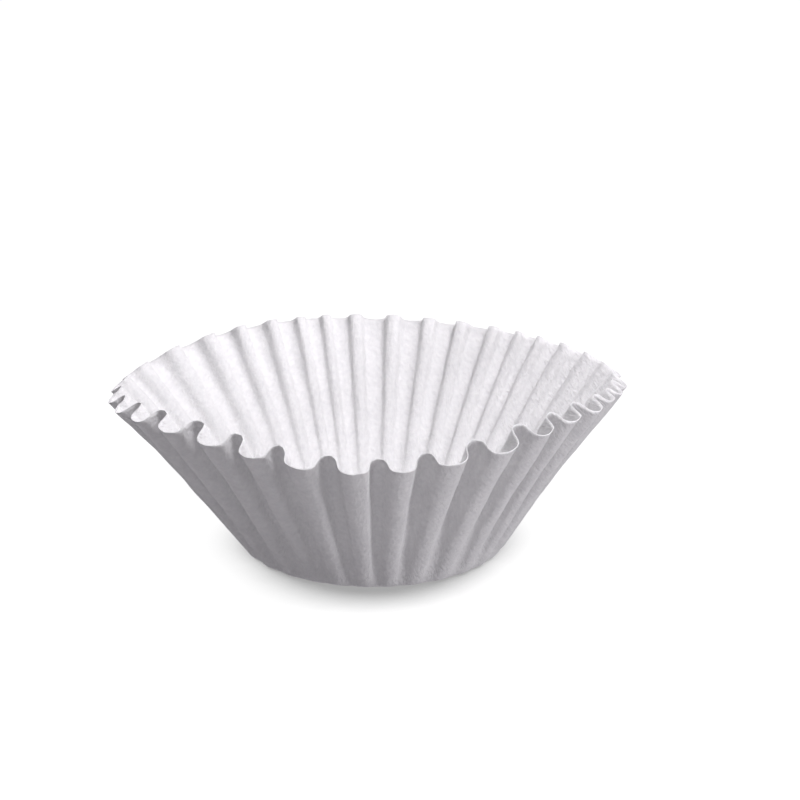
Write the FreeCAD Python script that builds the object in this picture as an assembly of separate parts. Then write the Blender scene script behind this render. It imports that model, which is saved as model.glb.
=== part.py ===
"""Paper basket filter for a drip coffee maker.

The real one starts as a flat disc of thin crepe paper. A die presses its middle flat and folds the
rest up into a flared wall, and the paper that the smaller wall has no room for gathers into flutes.
So the filter is one sheet of even thickness: a round flat bottom, a soft fold around it, and flutes
that are nothing at the fold and deepest at the cut edge.

The wall is pleated from flat facets, long up the wall and narrow around it, on both sides of the sheet.

Frame: millimetres, +Z up, origin at the centre of the underside of the flat bottom, -Y to the front.
"""
import FreeCAD, Part
import math
import os

PARTS_FOLDER = "parts"

# Driving sizes: alias, value, and what it is. Lengths are in millimetres and angles in degrees.
DRIVING_SIZES = (
    ("base_diameter", 82.5, "flat bottom, measured across the fold (3.25 in)"),
    ("blank_diameter", 210.0, "flat paper disc before it is pressed (8.25 in)"),
    ("rim_diameter", 154.0, "mouth, through the middle of the flutes"),
    ("paper_thickness", 0.16, "one sheet of filter paper"),
    ("flute_count", 36, "flutes around the wall"),
    ("fold_reach", 2.5, "how far the rounded fold reaches from its corner, each way"),
    ("wall_sag", 0.8, "how far the wall bows inwards between fold and rim"),
    ("flute_fullness", 0.88, "depth of a rounded flute against a straight pleat of as much paper"),
    ("lobe_breadth", 0.28, "0 has lobes and valleys alike, more has broader lobes"),
    ("flank_steepness", 0.30, "0 is a plain wave, more has steeper flanks"),
    ("flute_turn", 3.6, "how far round from the front the first flute stands"),
    ("handling", 1.0, "1 is the handled filter's uneven flutes and lean, 0 is as pressed"),
)

# What handling does, as waves around the filter: order, size and lead, both in degrees. The flutes
# open out at the front and crowd at the back, and the wall leans out further in some places.
SPACING_WAVES = ((1, 9.3, 27.0), (5, 1.5, -126.0), (11, 0.5, 176.0))
LEAN_WAVES = ((1, 1.7, -119.0), (2, 1.8, -141.0), (3, 2.6, 59.0), (4, 1.4, 101.0))

# Facets around each flute, and where the rings of corners lie above the fold, as shares of the wall.
FACETS_PER_FLUTE = 12
WALL_RINGS = (0.18, 0.52, 1.0)

# Step along the sheet, as a turn or a share, over which its slope is measured.
SLOPE_STEP = 1e-4


def make_sheet(document):
    """The spreadsheet of driving sizes, one row each with its alias."""
    sheet = document.addObject("Spreadsheet::Sheet", "sizes")
    for row, (alias, value, meaning) in enumerate(DRIVING_SIZES, start=1):
        sheet.set(f"A{row}", alias)
        sheet.set(f"B{row}", str(value))
        sheet.set(f"C{row}", meaning)
        sheet.setAlias(f"B{row}", alias)
    document.recompute()
    return sheet


def on_circle(radius, turn, height):
    """A point at a radius and height. Turn runs anticlockwise from the front, seen from above."""
    return FreeCAD.Vector(radius * math.sin(turn), -radius * math.cos(turn), height)


def wave_angle(waves, turn):
    """The angle, in radians, that a set of waves adds up to at this turn."""
    return sum(math.radians(size) * math.sin(order * turn + math.radians(lead)) for order, size, lead in waves)


class PressedPaper:
    """The form of the pressed sheet, worked out from the spreadsheet of driving sizes."""

    def __init__(self, sheet):
        self.base_radius = sheet.base_diameter / 2
        self.wall_length = (sheet.blank_diameter - sheet.base_diameter) / 2
        self.usual_lean = math.asin((sheet.rim_diameter / 2 - self.base_radius) / self.wall_length)
        self.thickness = float(sheet.paper_thickness)
        self.flutes = round(sheet.flute_count)
        self.fold_reach = float(sheet.fold_reach)
        self.sag = float(sheet.wall_sag)
        self.fullness = float(sheet.flute_fullness)
        self.breadth = float(sheet.lobe_breadth)
        self.steepness = float(sheet.flank_steepness)
        self.flute_turn = math.radians(sheet.flute_turn)
        self.handling = float(sheet.handling)

    def placed(self, turn):
        """Where on the filter a turn of the even, as-pressed flutes has come to stand."""
        return turn + self.flute_turn + self.handling * wave_angle(SPACING_WAVES, turn)

    def lean(self, around):
        """How far the wall leans out from upright at this place around the filter."""
        return self.usual_lean + self.handling * wave_angle(LEAN_WAVES, around)

    def flute_depth(self, turn, share, radius):
        """Half the depth of a flute. Its part of the ring keeps all the paper it had in the flat disc,
        so a pleat with that much paper on this pitch is this deep."""
        opened = (self.placed(turn + SLOPE_STEP) - self.placed(turn - SLOPE_STEP)) / (2 * SLOPE_STEP)
        flute_angle = 2 * math.pi / self.flutes * opened
        paper = (self.base_radius + self.wall_length * share) * flute_angle
        pitch = radius * flute_angle
        return self.fullness * math.sqrt(max(paper**2 - pitch**2, 0.0)) / 4

    def wall_point(self, turn, share):
        """A point on the outside of the fluted wall, at a share of the wall's length."""
        around = self.placed(turn)
        lean = self.lean(around)
        way = self.wall_length * share
        bow = 4 * self.sag * share * (1 - share)
        radius = self.base_radius + way * math.sin(lean) - bow * math.cos(lean)
        height = way * math.cos(lean) + bow * math.sin(lean)

        phase = self.flutes * turn
        depth = self.flute_depth(turn, share, radius)
        ripple = depth * math.cos(phase)
        sideways = depth * (self.breadth * math.sin(phase) + self.steepness * math.sin(2 * phase))
        radius_out = radius + ripple * math.cos(lean)
        return on_circle(radius_out, around + sideways / radius, height - ripple * math.sin(lean))

    def inward(self, turn, share):
        """Unit vector straight through the sheet, towards the coffee."""
        here = self.wall_point(turn, share)
        along = self.wall_point(turn + SLOPE_STEP, share) - here
        upward = self.wall_point(turn, share + SLOPE_STEP) - here
        return upward.cross(along).normalize()

    def column(self, turn, lift):
        """Corners of the facets at one turn, from the flat bottom over the fold and up the wall.
        Lift is how far they lie inside the sheet's outer face."""
        around = self.placed(turn)
        half_fold = (math.pi / 2 - self.lean(around)) / 2
        corner = on_circle(self.base_radius - lift * math.tan(half_fold), around, lift)
        flat = on_circle(self.base_radius - self.fold_reach, around, lift)
        shares = (self.fold_reach / self.wall_length,) + WALL_RINGS
        wall = [self.wall_point(turn, share) + self.inward(turn, share) * lift for share in shares]
        fold = (flat + corner * 2 + wall[0]) * 0.25
        return [flat, fold] + wall

    def rings(self, lift):
        """The same corners as closed rings, the lowest first."""
        count = self.flutes * FACETS_PER_FLUTE
        columns = [self.column(2 * math.pi * step / count, lift) for step in range(count)]
        return [list(ring) for ring in zip(*columns)]


def facet(*corners):
    """A flat face through its corners."""
    return Part.Face(Part.makePolygon([*corners, corners[0]]))


def facets_between(lower, upper):
    """Two triangles for each step around a pair of rings, split across the shorter diagonal."""
    faces = []
    for step in range(len(lower)):
        following = (step + 1) % len(lower)
        a, b = lower[step], lower[following]
        c, d = upper[following], upper[step]
        if a.distanceToPoint(c) < b.distanceToPoint(d):
            faces += [facet(a, b, c), facet(a, c, d)]
        else:
            faces += [facet(a, b, d), facet(b, c, d)]
    return faces


def pressed_sheet(paper):
    """The whole filter as one closed solid. The facets run up the inside, over the cut edge and
    down the outside, and two round faces close the flat bottom."""
    inside = paper.rings(paper.thickness)
    outside = paper.rings(0.0)
    rings = inside + outside[::-1]
    faces = [facet(*rings[0]), facet(*rings[-1])]
    for lower, upper in zip(rings, rings[1:]):
        faces += facets_between(lower, upper)
    shell = Part.makeShell(faces)
    shell.sewShape()
    solid = Part.Solid(shell.Shells[0])
    if solid.Volume < 0:
        solid.reverse()
    return solid


def main():
    document = FreeCAD.newDocument("basket_filter")
    sheet = make_sheet(document)
    filter_paper = document.addObject("Part::Feature", "paper_filter")
    filter_paper.Label = "paper_filter"
    filter_paper.Shape = pressed_sheet(PressedPaper(sheet))
    filter_paper.Placement = FreeCAD.Placement()
    document.recompute()

    for thing in document.Objects:
        if "Invalid" in thing.State or "Error" in thing.State:
            raise RuntimeError(f"{thing.Label} failed: {thing.State}")
    shape = filter_paper.Shape
    if shape.isNull() or not shape.isValid() or not shape.isClosed():
        raise RuntimeError(f"{filter_paper.Label} isn't a valid closed solid")

    os.makedirs(PARTS_FOLDER, exist_ok=True)
    shape.exportStep(os.path.join(PARTS_FOLDER, filter_paper.Label + ".step"))
    blank_volume = math.pi * (sheet.blank_diameter / 2) ** 2 * sheet.paper_thickness
    box = shape.BoundBox
    print(f"volume {shape.Volume:.0f} mm3, flat blank {blank_volume:.0f} mm3")
    print(f"size {box.XLength:.1f} x {box.YLength:.1f} x {box.ZLength:.1f} mm")


main()
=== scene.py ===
"""Looks of the paper basket filter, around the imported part. Metres and radians throughout.

The frame is the part's own: +Z up, origin at the centre of the underside of the flat bottom, -Y to the front.
"""

import math

import bpy
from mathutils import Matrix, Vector


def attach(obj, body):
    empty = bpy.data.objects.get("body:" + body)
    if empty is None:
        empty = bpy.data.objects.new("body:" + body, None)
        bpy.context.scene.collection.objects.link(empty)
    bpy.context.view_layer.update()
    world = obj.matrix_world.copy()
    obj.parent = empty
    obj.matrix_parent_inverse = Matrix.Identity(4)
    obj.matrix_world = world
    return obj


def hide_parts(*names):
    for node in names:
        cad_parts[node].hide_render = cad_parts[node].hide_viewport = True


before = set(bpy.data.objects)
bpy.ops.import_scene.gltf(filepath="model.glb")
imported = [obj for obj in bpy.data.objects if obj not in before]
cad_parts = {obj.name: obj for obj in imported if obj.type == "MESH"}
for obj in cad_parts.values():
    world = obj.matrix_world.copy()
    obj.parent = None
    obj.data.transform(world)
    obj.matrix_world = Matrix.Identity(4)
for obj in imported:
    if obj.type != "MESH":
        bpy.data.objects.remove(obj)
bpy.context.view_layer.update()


# The pressed sheet. The real one is a flat disc of bleached crepe paper, 210 mm across, whose wall a die
# folds up. Paper can't shrink, so each ring of the disc keeps its length, and what the narrower wall
# has no room for gathers into flutes: nothing at the fold and deepest at the cut edge.

FILTER_SIZES = {
    "Base Radius": 0.04125,
    "Wall Length": 0.06375,
    "Rim Radius": 0.077,
    "Fold Reach": 0.0025,
    "Wall Sag": 0.0008,
    "Flutes": 36,
    "Flute Fullness": 0.88,
    "Lobe Breadth": 0.28,
    "Flank Steepness": 0.30,
    "Flute Turn": math.radians(3.6),
    "Handling": 1.0,
    "Depth Variation": 0.16,
    "Variation Scale": 9.0,
    "Crease Depth": 0.0010,
    "Crease Scale": 30.0,
    "Dent Depth": 0.00024,
    "Dent Scale": 130.0,
    "Dents Fade In": 0.008,
    "Seed": 7.0,
}

# What handling does, as waves around the filter: order, size and lead, both in degrees. The flutes
# open out at the front and crowd at the back, and the wall leans out further in some places.
SPACING_WAVES = ((1, 9.3, 27.0), (5, 1.5, -126.0), (11, 0.5, 176.0))
LEAN_WAVES = ((1, 1.7, -119.0), (2, 1.8, -141.0), (3, 2.6, 59.0), (4, 1.4, 101.0))

# How far noise rises up the wall while it goes once around: less makes it longer and narrower.
VARIATION_RISE = 0.35
CREASE_RISE = 0.12

PAPER_THICKNESS = 0.00016
STEPS_PER_FLUTE = 18
ROWS_UP = 64
FLAT_ROWS = 7
SEAM_GAP = 1e-5

# Each point keeps its place on the flat disc, because the crepe runs straight across that.
FLAT_DISC = "flat_disc"

# The paper's finish: its two whites, how many wrinkles, clumps of fibre and clouds there are to a metre,
# and how much of each goes into its shade and its relief. The wrinkles are finer one way than the other.
DIM_WHITE = (0.750, 0.750, 0.756, 1.0)
BRIGHT_WHITE = (0.900, 0.898, 0.894, 1.0)
WRINKLES_PER_METRE = (1300.0, 520.0, 1.0)
CLUMPS_PER_METRE = 620.0
CLOUDS_PER_METRE = 120.0
CLUMP_SHADE = 0.65
WRINKLE_SHADE = 0.4
CLOUD_SHADE = 0.4
CLUMP_RELIEF = 0.6
WRINKLE_RELIEF = 0.6
RELIEF_HEIGHT = 0.00030


class Number:
    """A number that flows through a node tree. Sums and products of these are written as in a formula,
    and each adds its own math node to the tree that the number is in."""

    def __init__(self, socket):
        self.socket = socket

    @classmethod
    def made_by(cls, operation, *values):
        tree = next(value.socket.id_data for value in values if isinstance(value, Number))
        node = tree.nodes.new("ShaderNodeMath")
        node.operation = operation
        for slot, value in zip(node.inputs, values):
            if isinstance(value, Number):
                tree.links.new(value.socket, slot)
            else:
                slot.default_value = value
        return cls(node.outputs["Value"])

    def __add__(self, other):
        return Number.made_by("ADD", self, other)

    def __radd__(self, other):
        return Number.made_by("ADD", other, self)

    def __sub__(self, other):
        return Number.made_by("SUBTRACT", self, other)

    def __rsub__(self, other):
        return Number.made_by("SUBTRACT", other, self)

    def __mul__(self, other):
        return Number.made_by("MULTIPLY", self, other)

    def __rmul__(self, other):
        return Number.made_by("MULTIPLY", other, self)

    def __truediv__(self, other):
        return Number.made_by("DIVIDE", self, other)

    def __pow__(self, other):
        return Number.made_by("POWER", self, other)


def sine(angle):
    return Number.made_by("SINE", angle)


def cosine(angle):
    return Number.made_by("COSINE", angle)


def root(value):
    return Number.made_by("SQRT", value)


def larger(one, other):
    return Number.made_by("MAXIMUM", one, other)


def smaller(one, other):
    return Number.made_by("MINIMUM", one, other)


def kept_to_share(value):
    """The value, but never under 0 or over 1."""
    return smaller(larger(value, 0.0), 1.0)


def node_in(tree, kind, values=(), **settings):
    """A new node with its settings made, and its inputs linked or set by name."""
    node = tree.nodes.new(kind)
    for name, value in settings.items():
        setattr(node, name, value)
    for name, value in dict(values).items():
        if isinstance(value, Number):
            value = value.socket
        if isinstance(value, bpy.types.NodeSocket):
            tree.links.new(value, node.inputs[name])
        else:
            node.inputs[name].default_value = value
    return node


def point(tree, x, y, z=0.0):
    """Three numbers as one point."""
    return node_in(tree, "ShaderNodeCombineXYZ", {"X": x, "Y": y, "Z": z}).outputs["Vector"]


def parts_of(tree, vector):
    """The three numbers of a point."""
    apart = node_in(tree, "ShaderNodeSeparateXYZ", {"Vector": vector})
    return [Number(output) for output in apart.outputs]


def noise_value(tree, place, scale, detail=2.0, **values):
    """Smooth noise around 0, about -1 to 1, at a place."""
    noise = node_in(
        tree,
        "ShaderNodeTexNoise",
        {"Vector": place, "Scale": scale, "Detail": detail, **values},
        noise_dimensions="4D",
    )
    return (Number(noise.outputs["Fac"]) - 0.5) * 2.0


def spread_flutes(size, turn):
    """Where on the filter a turn of the even, as-pressed flutes has come to stand, and how far the
    flutes have opened there."""
    angle = turn + size["Flute Turn"]
    opened = 1.0
    for order, swing, lead in SPACING_WAVES:
        wave_angle = turn * order + math.radians(lead)
        swing = size["Handling"] * math.radians(swing)
        angle = angle + swing * sine(wave_angle)
        opened = opened + swing * order * cosine(wave_angle)
    return angle, opened


def lean_at(size, angle):
    """How far the wall leans out from upright at this place around the filter."""
    lean = Number.made_by("ARCSINE", (size["Rim Radius"] - size["Base Radius"]) / size["Wall Length"])
    for order, swing, lead in LEAN_WAVES:
        lean = lean + size["Handling"] * math.radians(swing) * sine(angle * order + math.radians(lead))
    return lean


def flute_depth(tree, size, turn, share, radius, opened):
    """Half the depth of a flute. Its part of the ring keeps all the paper it had in the flat disc, so
    a pleat with that much paper on this pitch is this deep. Handling varies it from flute to flute."""
    flute_angle = opened * math.tau / size["Flutes"]
    paper = (size["Base Radius"] + size["Wall Length"] * share) * flute_angle
    pitch = radius * flute_angle
    depth = root(larger(paper * paper - pitch * pitch, 0.0)) * 0.25 * size["Flute Fullness"]
    place = point(tree, sine(turn), cosine(turn), share * VARIATION_RISE)
    variation = noise_value(tree, place, size["Variation Scale"], 1.0, W=size["Seed"])
    return depth * (1.0 + variation * size["Depth Variation"])


def wall_point(tree, size, turn, angle, opened, share):
    """A point on the fluted wall, at a share of the wall's length. The flutes are broad outside and
    narrow inside, with steep flanks, and small creases run up the wall across them."""
    lean = lean_at(size, angle)
    lean_in = sine(lean)
    lean_up = cosine(lean)
    bow = size["Wall Sag"] * 4.0 * share * (1.0 - share)
    radius = size["Base Radius"] + size["Wall Length"] * share * lean_in - bow * lean_up
    height = size["Wall Length"] * share * lean_up + bow * lean_in

    depth = flute_depth(tree, size, turn, share, radius, opened)
    streak = point(tree, sine(turn), cosine(turn), share * CREASE_RISE)
    creases = noise_value(tree, streak, size["Crease Scale"], 1.0, W=size["Seed"])
    phase = size["Flutes"] * turn
    ripple = depth * cosine(phase) + creases * size["Crease Depth"] * share
    broaden = size["Lobe Breadth"] * sine(phase)
    steepen = size["Flank Steepness"] * sine(phase * 2.0)
    sideways = depth * (broaden + steepen)
    wall_angle = angle + sideways / radius
    out = radius + ripple * lean_up
    return out * sine(wall_angle), out * cosine(wall_angle) * -1.0, height - ripple * lean_in


def pressed_places(tree, size, around, along):
    """Where each point of the sheet goes in the pressed filter, and where it was on the flat disc. It
    starts from how far around it is, and how far along from the middle to the cut edge."""
    base = size["Base Radius"]
    reach = size["Fold Reach"]
    flat_radius = base - reach
    flat_part = FLAT_ROWS / ROWS_UP
    over_flat = smaller(along / flat_part, 1.0)
    beyond_flat = larger(along - flat_part, 0.0) / (1.0 - flat_part)
    way = over_flat * flat_radius + beyond_flat * (size["Wall Length"] + reach)

    turn = around * math.tau
    angle, opened = spread_flutes(size, turn)
    share = larger((way - base) / size["Wall Length"], reach / size["Wall Length"])
    wall_x, wall_y, wall_z = wall_point(tree, size, turn, angle, opened, share)

    # The soft fold: a curve from the flat bottom to the wall that leans on their corner.
    bend = kept_to_share((way - flat_radius) / (reach * 2.0))
    on_flat = (1.0 - bend) * (1.0 - bend)
    on_corner = bend * (1.0 - bend) * 2.0
    on_wall = bend * bend
    low_radius = smaller(way, flat_radius) * on_flat + base * on_corner
    x = low_radius * sine(angle) + wall_x * on_wall
    y = wall_y * on_wall - low_radius * cosine(angle)
    z = wall_z * on_wall
    return point(tree, x, y, z), point(tree, way * sine(angle), way * cosine(angle))


def dented(tree, size, sheet):
    """Handling leaves the wall with small dents, and the bottom stays flat on the table."""
    spot = tree.nodes.new("GeometryNodeInputPosition").outputs["Position"]
    spot_height = parts_of(tree, spot)[2]
    lifted = kept_to_share(spot_height / size["Dents Fade In"])
    dents = noise_value(tree, spot, size["Dent Scale"], 3.0, W=size["Seed"]) * size["Dent Depth"] * lifted
    normal = tree.nodes.new("GeometryNodeInputNormal").outputs["Normal"]
    push = node_in(tree, "ShaderNodeVectorMath", {"Vector": normal, "Scale": dents}, operation="SCALE")
    values = {"Geometry": sheet, "Offset": push.outputs["Vector"]}
    return node_in(tree, "GeometryNodeSetPosition", values).outputs["Geometry"]


def filter_tree():
    """The node tree that presses a square grid of paper into the filter. Across the grid is the way
    around the filter, and up the grid is the way along the sheet from the middle to the cut edge."""
    tree = bpy.data.node_groups.new("Pressed_Filter", "GeometryNodeTree")
    tree.interface.new_socket("Geometry", in_out="OUTPUT", socket_type="NodeSocketGeometry")
    for name in FILTER_SIZES:
        tree.interface.new_socket(name, in_out="INPUT", socket_type="NodeSocketFloat")
    tree.interface.new_socket("Paper", in_out="INPUT", socket_type="NodeSocketMaterial")
    entry = tree.nodes.new("NodeGroupInput")
    size = {name: Number(entry.outputs[name]) for name in FILTER_SIZES}

    columns = size["Flutes"] * STEPS_PER_FLUTE + 1
    values = {"Size X": 1.0, "Size Y": 1.0, "Vertices X": columns, "Vertices Y": ROWS_UP + 1}
    grid = node_in(tree, "GeometryNodeMeshGrid", values).outputs["Mesh"]
    grid_place = tree.nodes.new("GeometryNodeInputPosition").outputs["Position"]
    grid_x, grid_y, _ = parts_of(tree, grid_place)
    pressed, on_disc = pressed_places(tree, size, grid_x + 0.5, grid_y + 0.5)

    marked = node_in(
        tree,
        "GeometryNodeStoreNamedAttribute",
        {"Geometry": grid, "Name": FLAT_DISC},
        data_type="FLOAT2",
        domain="CORNER",
    )
    tree.links.new(on_disc, marked.inputs["Value"])
    values = {"Geometry": marked.outputs["Geometry"], "Position": pressed}
    moved = node_in(tree, "GeometryNodeSetPosition", values).outputs["Geometry"]
    values = {"Geometry": moved, "Distance": SEAM_GAP}
    closed = node_in(tree, "GeometryNodeMergeByDistance", values).outputs["Geometry"]
    sheet = dented(tree, size, closed)
    smooth = node_in(tree, "GeometryNodeSetShadeSmooth", {"Geometry": sheet}).outputs["Geometry"]
    real = node_in(tree, "GeometryNodeRealizeInstances", {"Geometry": smooth}).outputs["Geometry"]
    values = {"Geometry": real, "Material": entry.outputs["Paper"]}
    finished = node_in(tree, "GeometryNodeSetMaterial", values).outputs["Geometry"]
    leave = tree.nodes.new("NodeGroupOutput")
    tree.links.new(finished, leave.inputs["Geometry"])
    return tree


def crepe_paper():
    """Bleached crepe paper: matte and white, with fibres in soft clumps and fine wrinkles that run
    straight across the flat disc, one way, as they left the crepe roller."""
    material = bpy.data.materials.new("Crepe_Paper")
    material.use_nodes = True
    tree = material.node_tree
    surface = tree.nodes["Principled BSDF"]
    surface.inputs["Roughness"].default_value = 0.95
    surface.inputs["Specular IOR Level"].default_value = 0.12
    surface.inputs["Subsurface Weight"].default_value = 0.15
    surface.inputs["Subsurface Radius"].default_value = (1.0, 1.0, 1.0)
    surface.inputs["Subsurface Scale"].default_value = 0.0008

    flat_place = node_in(tree, "ShaderNodeUVMap", uv_map=FLAT_DISC).outputs["UV"]
    values = {"Vector": flat_place, "Scale": WRINKLES_PER_METRE}
    along_crepe = node_in(tree, "ShaderNodeMapping", values).outputs["Vector"]
    wrinkles = noise_value(tree, along_crepe, 1.0, 2.0, W=0.0, Distortion=0.6)
    clumps = noise_value(tree, flat_place, CLUMPS_PER_METRE, 4.0, W=3.0)
    clouds = noise_value(tree, flat_place, CLOUDS_PER_METRE, 2.0, W=5.0)

    shade = 0.5 + clumps * CLUMP_SHADE + wrinkles * WRINKLE_SHADE + clouds * CLOUD_SHADE
    tint = node_in(tree, "ShaderNodeValToRGB", {"Fac": shade})
    dim, bright = tint.color_ramp.elements
    dim.color = DIM_WHITE
    bright.color = BRIGHT_WHITE
    tree.links.new(tint.outputs["Color"], surface.inputs["Base Color"])

    height = wrinkles * WRINKLE_RELIEF + clumps * CLUMP_RELIEF
    values = {"Height": height, "Strength": 1.0, "Distance": RELIEF_HEIGHT}
    relief = node_in(tree, "ShaderNodeBump", values)
    tree.links.new(relief.outputs["Normal"], surface.inputs["Normal"])
    return material


def pressed_filter():
    """Runs the tree with this filter's sizes, thickens the sheet inwards and keeps a plain mesh."""
    start = bpy.data.meshes.new("blank_disc")
    maker = bpy.data.objects.new("filter_maker", start)
    bpy.context.collection.objects.link(maker)
    tree = filter_tree()
    press = maker.modifiers.new("Press", "NODES")
    press.node_group = tree
    values = dict(FILTER_SIZES, Paper=crepe_paper())
    for socket in tree.interface.items_tree:
        if socket.in_out == "INPUT":
            press[socket.identifier] = values[socket.name]
    thicken = maker.modifiers.new("Sheet", "SOLIDIFY")
    thicken.thickness = PAPER_THICKNESS
    thicken.offset = -1.0
    thicken.use_even_offset = True
    graph = bpy.context.evaluated_depsgraph_get()
    mesh = bpy.data.meshes.new_from_object(maker.evaluated_get(graph), depsgraph=graph)
    bpy.data.objects.remove(maker)
    mesh.name = "pressed_sheet"
    piece = bpy.data.objects.new("pressed_sheet", mesh)
    bpy.context.collection.objects.link(piece)
    return piece


pressed_sheet = pressed_filter()
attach(pressed_sheet, "root")
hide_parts("paper_filter")


# The table. A smooth white board that runs on out of sight, so that the filter stands on plain white with
# only a soft shadow around it, a faint one that the lamps cast and a painted one close to the fold. It
# also throws some light up, on the outside of the wall that leans out over it.

TABLE_HALF = 4.0
TABLE_GREY = 0.14

# What the camera sees is lifted to white, a little less around the filter than from the far radius on.
TABLE_LIFT = 0.985
LIFT_RADII = (0.25, 0.80)

# What the filter gets from the board.
TABLE_GLOW = 0.252
GLOW_TINT = (0.974, 0.926, 1.0)

# The painted shadow where the filter stands, taken from the white that the camera sees: how far it reaches,
# how dark it is, and the power that it falls off by. It is broad in front of the fold and tight at the sides.
CONTACT_REACH = 0.018
CONTACT_DEPTH = 1.22
CONTACT_DARKEST = 0.65
FRONT_POWER = 1.6
SIDE_POWER = 4.1


def white_to_camera(tree, seen, unseen):
    """Mixes two shaders: one for what the camera, gloss and glass see, one for the light itself."""
    ray = tree.nodes.new("ShaderNodeLightPath")
    shown = Number(ray.outputs["Is Camera Ray"]) + Number(ray.outputs["Is Glossy Ray"])
    shown = smaller(shown + Number(ray.outputs["Is Transmission Ray"]), 1.0)
    mix = node_in(tree, "ShaderNodeMixShader", {"Fac": shown})
    tree.links.new(unseen, mix.inputs[1])
    tree.links.new(seen, mix.inputs[2])
    return mix.outputs["Shader"]


def with_glow(tree, surface, **values):
    """A surface that also shines by itself."""
    glow = node_in(tree, "ShaderNodeEmission", values)
    both = tree.nodes.new("ShaderNodeAddShader")
    tree.links.new(surface, both.inputs[0])
    tree.links.new(glow.outputs["Emission"], both.inputs[1])
    return both.outputs["Shader"]


def painted_contact_shadow(tree, place, distance):
    """How much of the white a painted shadow takes away where the filter stands close over the board.
    To front is 1 straight in front and falls to 0 at 60 degrees round from there."""
    nearby = node_in(tree, "ShaderNodeAmbientOcclusion", {"Distance": CONTACT_REACH}, samples=16)
    ahead = parts_of(tree, place)[1] * -1.0
    to_front = kept_to_share(ahead / distance * 2.0 - 1.0)
    power = SIDE_POWER - to_front * (SIDE_POWER - FRONT_POWER)
    closed = (1.0 - Number(nearby.outputs["AO"])) ** power
    return smaller(closed * CONTACT_DEPTH, CONTACT_DARKEST)


def white_board():
    """The board's finish: pale grey under the lamps, white to the camera but for a painted shadow by the
    filter.
    """
    material = bpy.data.materials.new("White_Board")
    material.use_nodes = True
    tree = material.node_tree
    surface = tree.nodes["Principled BSDF"]
    surface.inputs["Base Color"].default_value = (TABLE_GREY, TABLE_GREY, TABLE_GREY, 1.0)
    surface.inputs["Roughness"].default_value = 1.0
    surface.inputs["Specular IOR Level"].default_value = 0.0

    place = tree.nodes.new("ShaderNodeTexCoord").outputs["Object"]
    distance = Number(
        node_in(tree, "ShaderNodeVectorMath", {0: place}, operation="LENGTH").outputs["Value"]
    )
    near, far = LIFT_RADII
    fade = kept_to_share((distance - near) / (far - near))
    # The white that the camera sees, with the painted shadow taken out of it close to the filter.
    lift = (TABLE_LIFT + fade * (1.0 - TABLE_LIFT)) * (1.0 - painted_contact_shadow(tree, place, distance))
    seen = with_glow(tree, surface.outputs["BSDF"], Strength=lift)
    unseen = with_glow(tree, surface.outputs["BSDF"], Color=(*GLOW_TINT, 1.0), Strength=TABLE_GLOW)
    shown = white_to_camera(tree, seen, unseen)
    tree.links.new(shown, tree.nodes["Material Output"].inputs["Surface"])
    return material


def table_top():
    mesh = bpy.data.meshes.new("table_top")
    reach = TABLE_HALF
    corners = [(-reach, -reach, 0.0), (reach, -reach, 0.0), (reach, reach, 0.0), (-reach, reach, 0.0)]
    mesh.from_pydata(corners, [], [(0, 1, 2, 3)])
    mesh.materials.append(white_board())
    board = bpy.data.objects.new("table_top", mesh)
    bpy.context.collection.objects.link(board)
    return board


table_top()


# The light. A soft lamp high above the front fills the inside, and its rays are too steep for the outside
# of the wall. A low one at the right picks out the right side of each flute, and one behind does so at
# the back. The room is a little brighter at the right too.

WORLD_LEVEL = 0.12
SIDE_LEVEL = 0.10
SIDE_FROM = Vector((0.95, -0.25, 0.15)).normalized()
LIGHT_TINT = (0.988, 0.962, 1.0)

# Name, place, width and power.
LAMPS = (
    ("Lamp_Above", (0.26, -0.29, 0.85), 0.36, 7.7),
    ("Lamp_Right", (0.80, -0.37, 0.12), 0.25, 2.3),
    ("Lamp_Behind", (-0.32, 0.85, 0.30), 0.35, 3.5),
)
LAMP_AIM = Vector((0.0, 0.0, 0.03))


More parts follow.
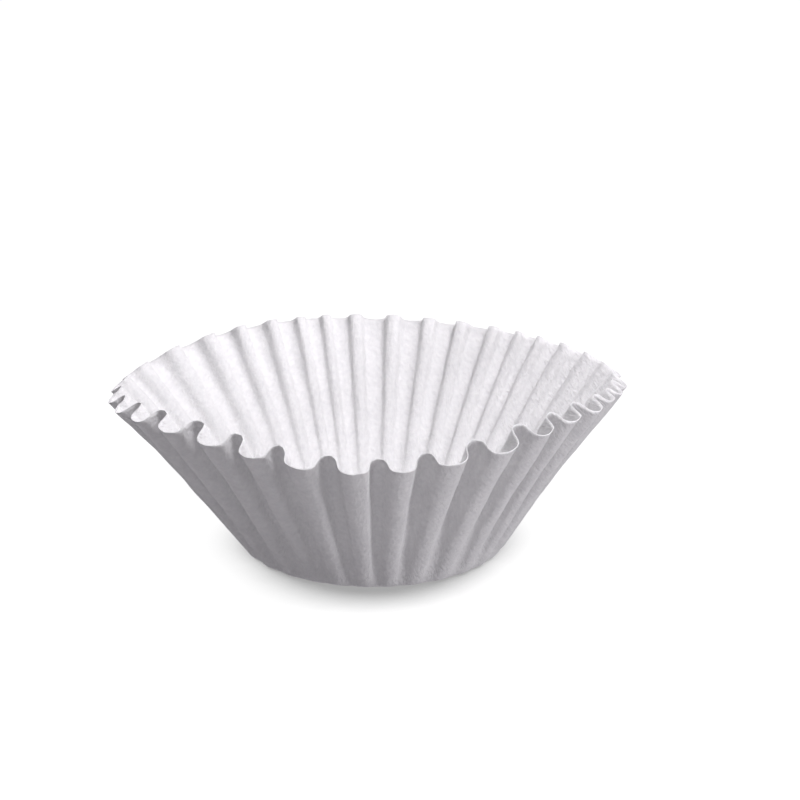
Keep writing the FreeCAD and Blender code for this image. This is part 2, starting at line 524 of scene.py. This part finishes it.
def room_light():
    world = bpy.data.worlds.new("Studio")
    bpy.context.scene.world = world
    world.use_nodes = True
    tree = world.node_tree
    soft = tree.nodes["Background"]
    soft.inputs["Color"].default_value = (*LIGHT_TINT, 1.0)
    heading = tree.nodes.new("ShaderNodeTexCoord").outputs["Generated"]
    facing = node_in(tree, "ShaderNodeVectorMath", {0: heading, 1: SIDE_FROM}, operation="DOT_PRODUCT")
    side = larger(Number(facing.outputs["Value"]), 0.0)
    level = WORLD_LEVEL + side * side * SIDE_LEVEL
    tree.links.new(level.socket, soft.inputs["Strength"])
    white = node_in(tree, "ShaderNodeBackground", {"Color": (1.0, 1.0, 1.0, 1.0), "Strength": 1.0})
    shown = white_to_camera(tree, white.outputs["Background"], soft.outputs["Background"])
    tree.links.new(shown, tree.nodes["World Output"].inputs["Surface"])


def lamp(name, place, width, power):
    light = bpy.data.lights.new(name, "AREA")
    light.shape = "DISK"
    light.size = width
    light.energy = power
    light.color = LIGHT_TINT
    stand = bpy.data.objects.new(name, light)
    stand.location = place
    stand.rotation_euler = (LAMP_AIM - Vector(place)).to_track_quat("-Z", "Y").to_euler()
    bpy.context.collection.objects.link(stand)


room_light()
for settings in LAMPS:
    lamp(*settings)


# The camera. It stands 0.6 m away and looks down on the filter from the front, near enough that the front
# of the mouth looks wider than its back. Where the middle of the bowl lies in the picture places it.

PICTURE_WIDTH = 800
SENSOR_WIDTH = 36.0
FOCAL_PIXELS = 1896.0
LOOK_DOWN = math.radians(17.6)
DISTANCE = 0.600
TARGET = Vector((0.0, 0.0, 0.0344))
TARGET_PIXEL = (373.8, 436.6)


def picture_camera():
    ahead = Vector((0.0, math.cos(LOOK_DOWN), -math.sin(LOOK_DOWN)))
    right = Vector((1.0, 0.0, 0.0))
    up = right.cross(ahead)
    middle = PICTURE_WIDTH / 2
    aside = (TARGET_PIXEL[0] - middle) * DISTANCE / FOCAL_PIXELS
    above = (middle - TARGET_PIXEL[1]) * DISTANCE / FOCAL_PIXELS
    lens = bpy.data.cameras.new("Camera")
    lens.sensor_width = SENSOR_WIDTH
    lens.lens = FOCAL_PIXELS / PICTURE_WIDTH * SENSOR_WIDTH
    lens.clip_start = 0.01
    camera = bpy.data.objects.new("Camera", lens)
    camera.location = TARGET - ahead * DISTANCE - right * aside - up * above
    camera.rotation_euler = (math.pi / 2 - LOOK_DOWN, 0.0, 0.0)
    bpy.context.collection.objects.link(camera)
    bpy.context.scene.camera = camera


picture_camera()

bpy.context.scene.view_settings.view_transform = "Standard"
